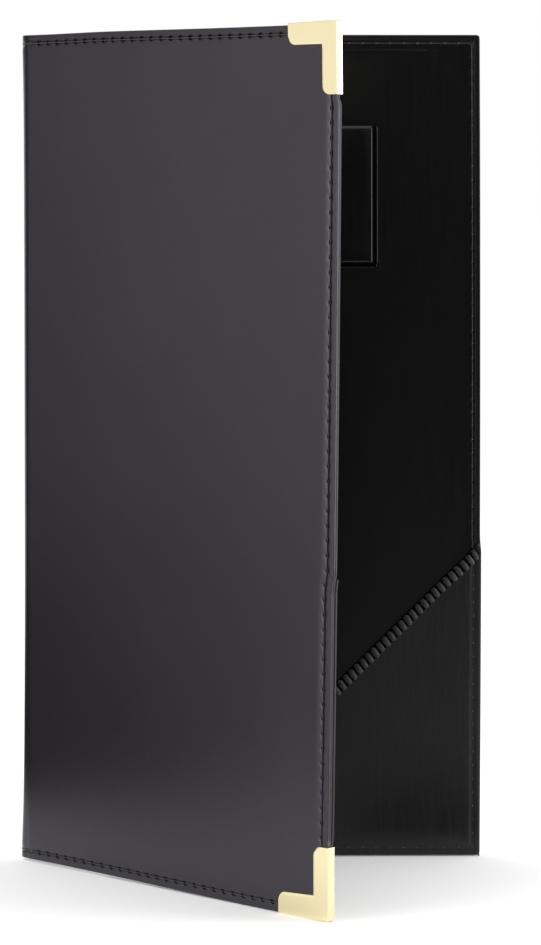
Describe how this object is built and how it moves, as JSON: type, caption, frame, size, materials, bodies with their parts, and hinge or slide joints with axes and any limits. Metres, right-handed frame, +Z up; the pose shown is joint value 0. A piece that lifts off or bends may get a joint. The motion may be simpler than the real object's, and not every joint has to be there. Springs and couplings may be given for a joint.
{
  "type": "guest check presenter",
  "caption": "Tall two-cover folder that stands open, with sewn edges, a soft two-crease spine, diagonal bill pockets, a card pocket and metal corners on the front cover.",
  "frame": {"origin": "bottom centre of the standing folder's bounding box, on the surface it stands on", "axes": "+Z up along the covers' height; +X along the back cover from the spine to its fore edge; +Y out of the back cover's outer face"},
  "size_m": [0.1404, 0.11, 0.2544],
  "materials": {
    "leatherette": "bonded leatherette, fine grain, satin",
    "lining": "smooth black lining, satin",
    "pocket_sheet": "leatherette with a fine straight grain, satin",
    "vinyl": "black vinyl, heat welded, gloss",
    "whip_thread": "thick twisted thread, soft sheen",
    "sewing_thread": "black sewing thread",
    "gilt_metal": "gold finish, polished sheet metal",
    "board": "grey board, unfinished"
  },
  "bodies": {
    "back_cover": {"back_cover_skin": "leatherette", "back_board": "board", "back_infill": "board", "back_lining": "lining", "back_bill_pocket": "pocket_sheet", "back_whipstitch": "whip_thread", "card_pocket": "vinyl", "back_needle_thread": "sewing_thread", "back_bobbin_thread": "sewing_thread"},
    "spine": {"spine_skin": "leatherette", "spine_lining": "lining", "spine_needle_thread": "sewing_thread", "spine_bobbin_thread": "sewing_thread"},
    "front_cover": {"front_cover_skin": "leatherette", "front_board": "board", "front_infill": "board", "front_lining": "lining", "front_bill_pocket": "pocket_sheet", "front_whipstitch": "whip_thread", "front_needle_thread": "sewing_thread", "front_bobbin_thread": "sewing_thread", "top_metal_corner": "gilt_metal", "bottom_metal_corner": "gilt_metal"}
  },
  "joints": [
    {"name": "back_crease", "type": "hinge", "parent": "back_cover", "child": "spine", "pos_m": [-0.06705, 0.05358, 0.127], "axis": [0, 0, -1], "range_deg": [-23.85, 66.15]},
    {"name": "front_crease", "type": "hinge", "parent": "spine", "child": "front_cover", "pos_m": [-0.06972, 0.04754, 0.127], "axis": [0, 0, -1], "range_deg": [-23.85, 66.15]}
  ],
  "couplings": [
    {"joint": "front_crease", "follows": "back_crease", "ratio": 1}
  ]
}
